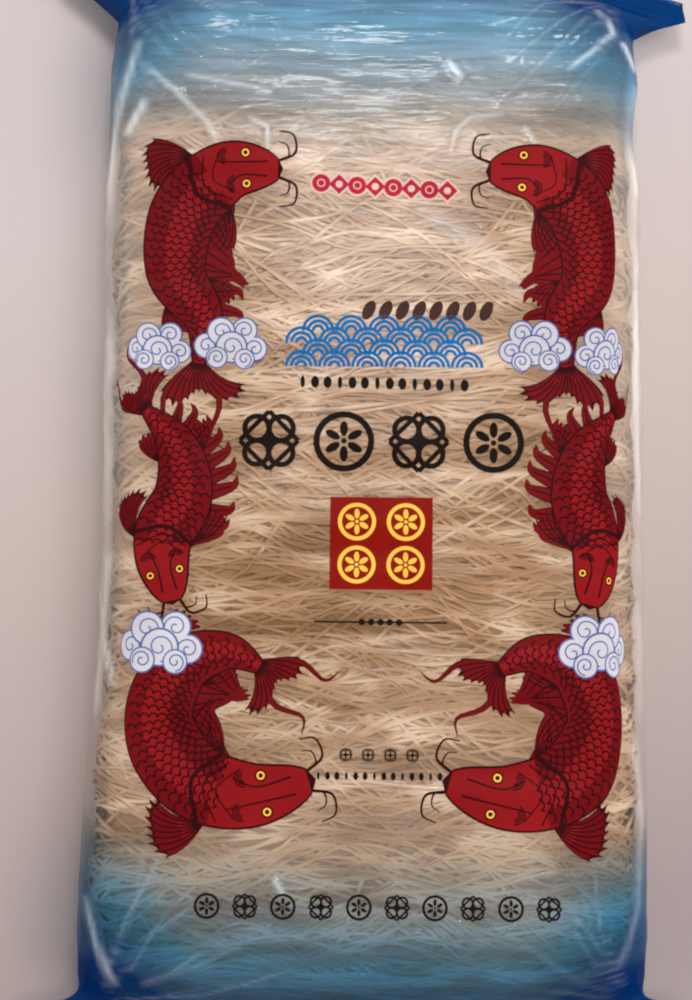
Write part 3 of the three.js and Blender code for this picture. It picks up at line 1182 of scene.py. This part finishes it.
def side_haze(n, place, cloud, edge):
    """Haze of the shoulders and the flanks, less where the film stands upright. It is painted light in part:
    more on the right, which the lamps light, and less towards the near end, which they light less.
    """
    level = n.maths("ABSOLUTE", n.axis(n.normal(), "Z"))
    turned = n.times(n.span(level, (0.95, 0.5)), n.span(level, (0.12, 0.5), 0.16))
    turned = n.times(turned, n.span(cloud, (0.4, 0.6), 0.5, 1.2))
    # Painted light: the right shoulder has more haze than the left, as the lamps on the right light it
    shoulder = n.times(turned, n.span(n.axis(place, "X"), (-0.06, 0.06), HAZE["left"], HAZE["right"]))
    flank = n.times(n.times(edge, edge), HAZE["flank"])
    # Painted shade: less haze towards the near end, away from the lamps
    farther_painted_light = n.span(n.axis(place, "Y"), (-0.075, 0.02), 0.1)
    return n.times(farther_painted_light, n.maths("MAXIMUM", shoulder, flank))


def end_haze(n, place, ink, edge, far):
    """Haze of the blue ink and of the ends, less of it at the sides, streaked along the noodles. The far
    end's haze is partly the film's milkiness and partly painted sheen of the lamps on its wrinkles and the
    strands below.
    """
    near = n.span(n.axis(place, "Y"), NEAR_REACH, high=HAZE["near"])
    inward = n.maths("SUBTRACT", 1.0, n.times(edge, 0.8))
    ends = n.times(n.plus(near, far), inward)
    streaks = n.span(n.noise(place, (45, 480, 160), 1.5, 0.5), (0.38, 0.62), 0.78, 1.22)
    return n.times(n.plus(n.span(ink, (0.0, 0.3), high=HAZE["ink"]), ends), streaks)


def film_material():
    """Clear film, tinted by its ink, with milky haze laid over it and a gloss over all."""
    n = material_nodes("clear_film")
    place = n.place()
    station = n.attribute("station")
    cloud = n.noise(place, 40.0, 2.0)
    wander = n.plus(station, n.times(cloud, 0.006))
    ink = n.maths("POWER", n.span(wander, INK_REACH), 1.3)
    pressed = n.span(station, SEAL_REACH)
    loose = n.maths("SUBTRACT", n.span(station, LOOSE_REACH), pressed)
    lines = n.times(crinkles(n, place), n.times(loose, HAZE["crinkle"]))
    edge = n.span(n.maths("ABSOLUTE", n.axis(place, "X")), EDGE_REACH)
    # The far end's haze: partly the film's milkiness, partly painted sheen
    far = n.span(n.axis(place, "Y"), FAR_REACH, high=HAZE["far"])
    white = film_whites(n, place, far, pressed)
    haze = n.span(cloud, (0.55, 0.75), high=HAZE["cloud"])
    for part in (side_haze(n, place, cloud, edge), end_haze(n, place, ink, edge, far),
                 n.span(station, OPAQUE_REACH, high=HAZE["opaque"]), lines, n.times(white, HAZE["crease"])):
        haze = n.plus(haze, part)
    haze = n.maths("MINIMUM", haze, HAZE["most"])
    height = n.plus(n.noise(place, (110, 800, 300), 2.0), n.times(lines, 2.0))
    bump = n.add("Bump", {"Height": height, "Strength": 0.5, "Distance": 0.0004}).outputs[0]
    paint = n.ramp(ink, FILM_PAINT)
    paint = n.add("Mix", {0: white, 6: paint, 7: FILM_WHITE}, data_type="RGBA").outputs[2]
    clear = n.add("BsdfTransparent", {"Color": n.ramp(ink, FILM_TINT)}).outputs[0]
    milky = n.add("BsdfDiffuse", {"Color": paint, "Normal": bump}).outputs[0]
    body = n.add("MixShader", {0: haze, 1: clear, 2: milky}).outputs[0]
    shine = n.add("BsdfGlossy", {"Roughness": 0.09, "Normal": bump}).outputs[0]
    mirror = n.add("Fresnel", {"IOR": FILM_IOR, "Normal": bump}).outputs[0]
    gloss = n.times(mirror, n.plus(n.times(loose, 0.45), 0.12))
    return n.surface(n.add("MixShader", {0: gloss, 1: body, 2: shine}))


def floor_material():
    n = material_nodes("floor")
    place = n.place()
    # Painted shade: the floor darkens towards the near end and the right
    painted_shade_slant = n.maths("SUBTRACT", n.axis(place, "Y"), n.times(n.axis(place, "X"), 0.35))
    colour = n.ramp(n.span(painted_shade_slant, (-0.131, 0.1)), FLOOR_TONES)
    return n.surface(n.add("BsdfPrincipled", {"Base Color": colour, "Roughness": 0.7}))


# ---- stage, lights, camera

IMAGE_HEIGHT = 1000
FOCAL_PIXELS = 1749.6
CAMERA_DISTANCE = 430.0
CAMERA_TARGET = (-5.61, -6.48, 30.0)
CAMERA_ELEVATION = 84.0
CAMERA_ROLL = 0.635
SENSOR = 36.0
FLOOR_HALF = 1500
# The sky's strength by height: bright and warm from the sides, dim from straight above
SKY = ((0.4, (1.0, 0.96, 0.93)), (0.85, (0.1, 0.1, 0.1)))
# Each light's name, place and target in metres, size, power, colour, and whether gloss mirrors it
LIGHTS = (
    ("lamp", (0.01, 0.195, 0.62), (0, 0.06, 0), 0.12, 1.5, (1.0, 0.97, 0.95), True),
    ("window", (0.21, -0.02, 0.62), (0, -0.03, 0), 0.34, 3.2, (1.0, 0.97, 0.96), False),
)


def make_camera():
    data = bpy.data.cameras.new("camera")
    data.sensor_fit = "VERTICAL"
    data.sensor_height = SENSOR
    data.lens = SENSOR * FOCAL_PIXELS / IMAGE_HEIGHT
    data.clip_start = 0.01
    data.clip_end = 20
    camera = add_object("camera", data)
    rise = math.radians(CAMERA_ELEVATION)
    back = Vector((0, -math.cos(rise), math.sin(rise)))
    turn = back.to_track_quat("Z", "Y").to_matrix()
    roll = Matrix.Rotation(math.radians(CAMERA_ROLL), 3, "Z")
    place = Matrix.Translation((Vector(CAMERA_TARGET) + back * CAMERA_DISTANCE) * MM)
    camera.matrix_world = place @ (turn @ roll).to_4x4()
    scene.camera = camera


def area_light(name, place, target, size, power, colour, is_seen_in_gloss):
    data = bpy.data.lights.new(name, "AREA")
    data.shape = "SQUARE"
    data.size = size
    data.energy = power
    data.color = colour
    lamp = add_object(name, data)
    lamp.location = place
    lamp.rotation_euler = (Vector(place) - Vector(target)).to_track_quat("Z", "Y").to_euler()
    lamp.visible_glossy = is_seen_in_gloss


def make_stage():
    corners = FLOOR_HALF * np.array([[-1, -1, 0], [1, -1, 0], [1, 1, 0], [-1, 1, 0]])
    floor = new_mesh("floor", corners, [[0, 1, 2, 3]], smooth=False)
    floor.data.materials.append(floor_material())
    n = Nodes(bpy.data.worlds.new("studio"))
    height = n.axis(n.add("TexCoord").outputs["Generated"], "Z")
    sky = n.add("Background", {"Color": n.ramp(height, SKY), "Strength": 1.0})
    scene.world = n.surface(sky, "OutputWorld")
    for light in LIGHTS:
        area_light(*light)
    scene.view_settings.view_transform = "Standard"
    cycles = scene.cycles
    cycles.filter_width = 2.2
    cycles.max_bounces = 7
    cycles.diffuse_bounces = 3
    cycles.glossy_bounces = 2
    cycles.transparent_max_bounces = 12
    cycles.caustics_reflective = False
    cycles.caustics_refractive = False


make_stage()
make_camera()
film = film_material()
make_film(film)
make_lap_seam(film)
make_noodles(noodle_material("noodle", NOODLE_TONES), noodle_material("noodle_deep", CORE_TONES))
make_print()
